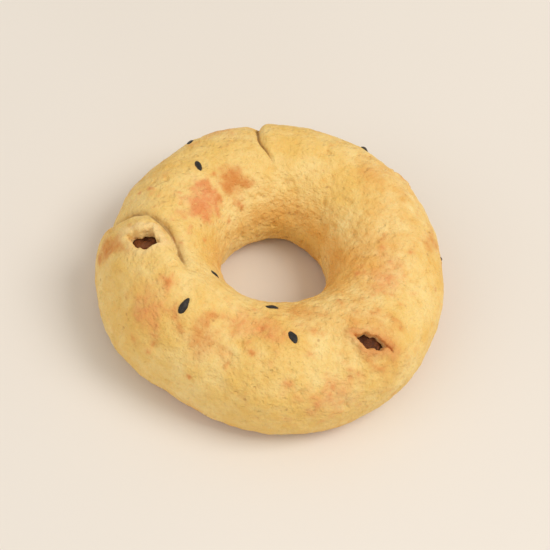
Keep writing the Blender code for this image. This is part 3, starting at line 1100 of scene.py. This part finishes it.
def make_seeds():
    """Black seeds, each a blunt three-edged drop lying in the skin."""
    draw = random.Random(SEED_DRAW)
    all_seeds = bmesh.new()
    for place, long_way, short_way, outward, size in SEEDS:
        seed = bmesh.ops.create_uvsphere(
            all_seeds, u_segments=SEED_SIDES, v_segments=SEED_RINGS, radius=size / 2
        )
        roll = draw.uniform(0, math.tau)
        bend = draw.uniform(-SEED_BEND, SEED_BEND)
        for vertex in seed["verts"]:
            sideways, depth, lengthwise = vertex.co
            turn = math.atan2(depth, sideways) + roll
            fullness = 1 + SEED_EDGE * math.cos(3 * turn) - SEED_POINT * max(lengthwise, 0)
            dimple = noise.noise(Vector((lengthwise * SEED_DIMPLES, turn, roll)))
            fullness *= 1 + SEED_DIMPLE * dimple
            vertex.co = (
                place
                + long_way * lengthwise * SEED_LENGTH
                + short_way * (sideways * fullness + bend * lengthwise**2) * SEED_WIDTH
                + outward * depth * fullness * SEED_WIDTH
            )
    bmesh.ops.recalc_face_normals(all_seeds, faces=all_seeds.faces)
    piece = new_piece("black_seeds", all_seeds, seed_finish())
    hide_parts("dough")
    return piece


# ---------------------------------------------------------------- stage

# Lights: place, length of a side, power in watts and colour
LIGHTS = {
    "key": ((0.35, 0.04, 0.54), 0.34, 2.1, (1.0, 0.965, 0.915)),
    "fill": ((-0.50, -0.45, 0.55), 0.60, 1.3, (1.0, 0.98, 0.95)),
}
ROOM_TONE = tone(236, 231, 224)
ROOM_STRENGTH = 0.68
CAMERA_RISE = 55  # degrees above the floor
CAMERA_ROLL = 15  # degrees, because the ring leans a little to one side in the photograph
CAMERA_LENS = 85
SENSOR = 36
RING_SHARE = 0.62  # of the picture's width that the ring takes
LOOK_AT = Vector((SHIFT.x, -0.0008, 0.0060))
NEAREST, FARTHEST = 0.01, 10  # that the camera sees
FLOOR_SIZE = 1.6
FLOOR_STEPS = 8


def make_floor():
    """The plain floor that the cookie lies on."""
    shape = bmesh.new()
    bmesh.ops.create_grid(
        shape, x_segments=FLOOR_STEPS, y_segments=FLOOR_STEPS, size=FLOOR_SIZE / 2
    )
    mesh = bpy.data.meshes.new("floor")
    shape.to_mesh(mesh)
    shape.free()
    floor = bpy.data.objects.new("floor", mesh)
    bpy.context.scene.collection.objects.link(floor)
    mesh.materials.append(floor_finish())


def soft_light(name, place, size, power, colour):
    """Square area light turned to the cookie."""
    lamp = bpy.data.lights.new(name, "AREA")
    lamp.shape = "SQUARE"
    lamp.size = size
    lamp.energy = power
    lamp.color = colour
    light = bpy.data.objects.new(name, lamp)
    light.location = place
    light.rotation_euler = (Vector(place) - LOOK_AT).to_track_quat("Z", "Y").to_euler()
    bpy.context.scene.collection.objects.link(light)


def make_room():
    """Even light from all round."""
    world = bpy.data.worlds.new("room")
    world.use_nodes = True
    background = world.node_tree.nodes["Background"]
    background.inputs["Color"].default_value = ROOM_TONE
    background.inputs["Strength"].default_value = ROOM_STRENGTH
    bpy.context.scene.world = world


def make_camera():
    """Camera that looks down at the cookie, rolled a little as in the photograph."""
    camera = bpy.data.cameras.new("camera")
    camera.lens = CAMERA_LENS
    camera.sensor_width = SENSOR
    camera.clip_start, camera.clip_end = NEAREST, FARTHEST
    distance = RING_DIAMETER / RING_SHARE * CAMERA_LENS / SENSOR
    rise = math.radians(CAMERA_RISE)
    away = Vector((0, -math.cos(rise), math.sin(rise)))
    roll = Quaternion((0, 0, 1), math.radians(CAMERA_ROLL))
    viewer = bpy.data.objects.new("camera", camera)
    viewer.location = LOOK_AT + away * distance
    viewer.rotation_euler = (away.to_track_quat("Z", "Y") @ roll).to_euler()
    bpy.context.scene.collection.objects.link(viewer)
    bpy.context.scene.camera = viewer


def make_stage():
    """Floor, a key light from the right, a fill light from the left, the room and the camera."""
    make_floor()
    for name, light in LIGHTS.items():
        soft_light(name, *light)
    make_room()
    make_camera()
    bpy.context.scene.view_settings.view_transform = "Standard"


make_dough()
make_paste()
make_seeds()
make_stage()
